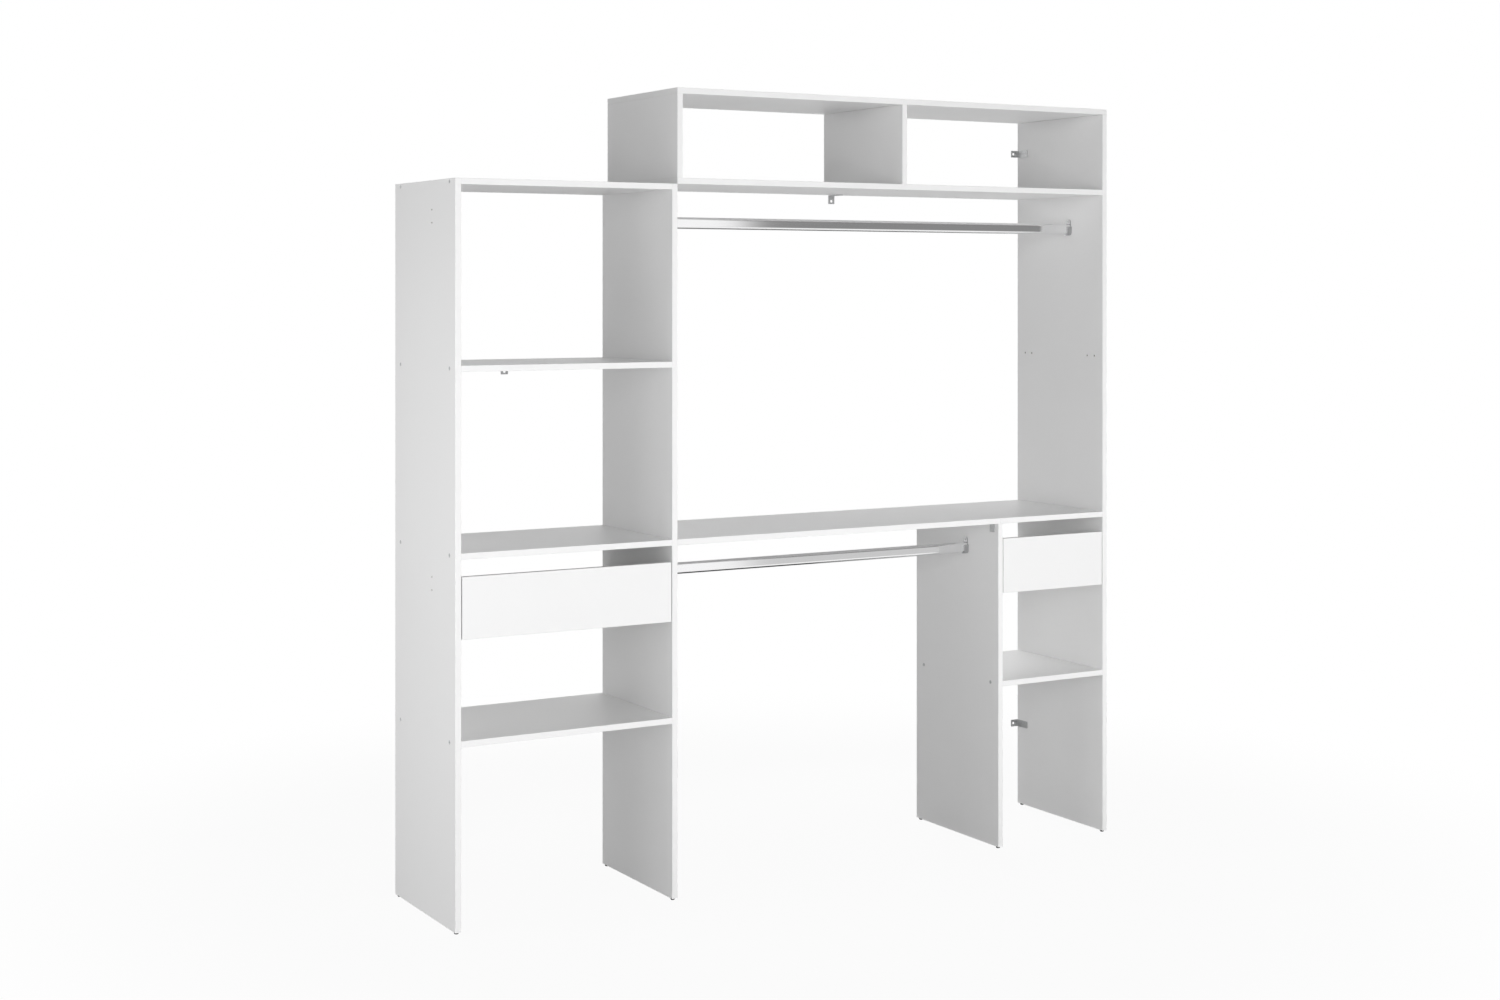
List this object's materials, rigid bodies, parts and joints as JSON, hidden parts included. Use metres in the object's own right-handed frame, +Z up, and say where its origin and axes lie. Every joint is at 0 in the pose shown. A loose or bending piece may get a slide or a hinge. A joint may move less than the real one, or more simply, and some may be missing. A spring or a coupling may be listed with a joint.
{
  "type": "open frame wardrobe",
  "caption": "Open wardrobe frame of white boards: shelf column, long shelf on a low panel, loft box across the top, oval hanging rails and handleless drawers on roller runners.",
  "frame": {"origin": "on the floor under the middle of the whole unit, in width and in depth", "axes": "+Z up, -Y towards the open front where the drawers pull out, +X to the right seen from the front, so the shelf column is on the -X side"},
  "size_m": [1.98, 0.396, 2.048],
  "materials": {
    "white_board": "white melamine on particle board, fine satin",
    "drawer_board": "white foil on thin particle board",
    "white_hardboard": "white painted hardboard",
    "chrome_tube": "polished chrome plate",
    "chrome_casting": "chrome plate on a zinc casting",
    "zinc_steel": "bright zinc plate",
    "coated_runner": "white powder coat",
    "roller_nylon": "natural nylon",
    "dark_plastic": "dark moulded plastic"
  },
  "bodies": {
    "frame": {"left_side_panel": "white_board", "column_inner_panel": "white_board", "low_panel": "white_board", "right_side_panel": "white_board", "column_top_board": "white_board", "column_upper_shelf": "white_board", "column_middle_shelf": "white_board", "column_lower_shelf": "white_board", "long_shelf": "white_board", "long_shelf_extension": "white_board", "right_lower_shelf": "white_board", "loft_floor": "white_board", "loft_top_board": "white_board", "loft_left_panel": "white_board", "loft_divider": "white_board", "upper_rail": "chrome_tube", "lower_rail": "chrome_tube", "upper_rail_supports": "chrome_casting", "lower_rail_supports": "chrome_casting", "wall_bracket_column": "zinc_steel", "wall_bracket_loft_floor": "zinc_steel", "wall_bracket_loft_side": "zinc_steel", "wall_bracket_right_side": "zinc_steel", "shelf_brackets": "zinc_steel", "loft_brackets": "zinc_steel", "panel_screws": "zinc_steel", "short_screws": "zinc_steel", "rail_screws": "zinc_steel", "floor_glides": "dark_plastic", "column_drawer_left_channel": "coated_runner", "column_drawer_right_channel": "coated_runner", "right_drawer_left_channel": "coated_runner", "right_drawer_right_channel": "coated_runner"},
    "column_drawer": {"column_drawer_front": "white_board", "column_drawer_back": "drawer_board", "column_drawer_left_side": "drawer_board", "column_drawer_right_side": "drawer_board", "column_drawer_bottom": "white_hardboard", "column_drawer_left_slide": "coated_runner", "column_drawer_right_slide": "coated_runner", "column_drawer_cam_fittings": "zinc_steel", "column_drawer_screws": "zinc_steel"},
    "column_drawer_left_front_roller": {"column_drawer_left_front_roller": "roller_nylon"},
    "column_drawer_left_rear_roller": {"column_drawer_left_rear_roller": "roller_nylon"},
    "column_drawer_right_front_roller": {"column_drawer_right_front_roller": "roller_nylon"},
    "column_drawer_right_rear_roller": {"column_drawer_right_rear_roller": "roller_nylon"},
    "right_drawer": {"right_drawer_front": "white_board", "right_drawer_back": "drawer_board", "right_drawer_left_side": "drawer_board", "right_drawer_right_side": "drawer_board", "right_drawer_bottom": "white_hardboard", "right_drawer_left_slide": "coated_runner", "right_drawer_right_slide": "coated_runner", "right_drawer_cam_fittings": "zinc_steel", "right_drawer_screws": "zinc_steel"},
    "right_drawer_left_front_roller": {"right_drawer_left_front_roller": "roller_nylon"},
    "right_drawer_left_rear_roller": {"right_drawer_left_rear_roller": "roller_nylon"},
    "right_drawer_right_front_roller": {"right_drawer_right_front_roller": "roller_nylon"},
    "right_drawer_right_rear_roller": {"right_drawer_right_rear_roller": "roller_nylon"}
  },
  "joints": [
    {"name": "column_drawer_slide", "type": "slide", "parent": "frame", "child": "column_drawer", "axis": [0, -1, 0], "range_m": [0, 0.26]},
    {"name": "column_drawer_left_front_roller_spin", "type": "hinge", "parent": "frame", "child": "column_drawer_left_front_roller", "pos_m": [-0.96875, -0.168, 0.7245], "axis": [1, 0, 0], "range_deg": [0, 1490]},
    {"name": "column_drawer_left_rear_roller_spin", "type": "hinge", "parent": "column_drawer", "child": "column_drawer_left_rear_roller", "pos_m": [-0.96875, 0.154, 0.7198], "axis": [1, 0, 0], "range_deg": [0, 1490]},
    {"name": "column_drawer_right_front_roller_spin", "type": "hinge", "parent": "frame", "child": "column_drawer_right_front_roller", "pos_m": [-0.41125, -0.168, 0.7245], "axis": [1, 0, 0], "range_deg": [0, 1490]},
    {"name": "column_drawer_right_rear_roller_spin", "type": "hinge", "parent": "column_drawer", "child": "column_drawer_right_rear_roller", "pos_m": [-0.41125, 0.154, 0.7198], "axis": [1, 0, 0], "range_deg": [0, 1490]},
    {"name": "right_drawer_slide", "type": "slide", "parent": "frame", "child": "right_drawer", "axis": [0, -1, 0], "range_m": [0, 0.26]},
    {"name": "right_drawer_left_front_roller_spin", "type": "hinge", "parent": "frame", "child": "right_drawer_left_front_roller", "pos_m": [0.63125, -0.168, 0.7245], "axis": [1, 0, 0], "range_deg": [0, 1490]},
    {"name": "right_drawer_left_rear_roller_spin", "type": "hinge", "parent": "right_drawer", "child": "right_drawer_left_rear_roller", "pos_m": [0.63125, 0.154, 0.7198], "axis": [1, 0, 0], "range_deg": [0, 1490]},
    {"name": "right_drawer_right_front_roller_spin", "type": "hinge", "parent": "frame", "child": "right_drawer_right_front_roller", "pos_m": [0.96875, -0.168, 0.7245], "axis": [1, 0, 0], "range_deg": [0, 1490]},
    {"name": "right_drawer_right_rear_roller_spin", "type": "hinge", "parent": "right_drawer", "child": "right_drawer_right_rear_roller", "pos_m": [0.96875, 0.154, 0.7198], "axis": [1, 0, 0], "range_deg": [0, 1490]}
  ],
  "couplings": [
    {"joint": "column_drawer_left_front_roller_spin", "follows": "column_drawer_slide", "rad_per_m": 100},
    {"joint": "column_drawer_left_rear_roller_spin", "follows": "column_drawer_slide", "rad_per_m": 100},
    {"joint": "column_drawer_right_front_roller_spin", "follows": "column_drawer_slide", "rad_per_m": 100},
    {"joint": "column_drawer_right_rear_roller_spin", "follows": "column_drawer_slide", "rad_per_m": 100},
    {"joint": "right_drawer_left_front_roller_spin", "follows": "right_drawer_slide", "rad_per_m": 100},
    {"joint": "right_drawer_left_rear_roller_spin", "follows": "right_drawer_slide", "rad_per_m": 100},
    {"joint": "right_drawer_right_front_roller_spin", "follows": "right_drawer_slide", "rad_per_m": 100},
    {"joint": "right_drawer_right_rear_roller_spin", "follows": "right_drawer_slide", "rad_per_m": 100}
  ]
}
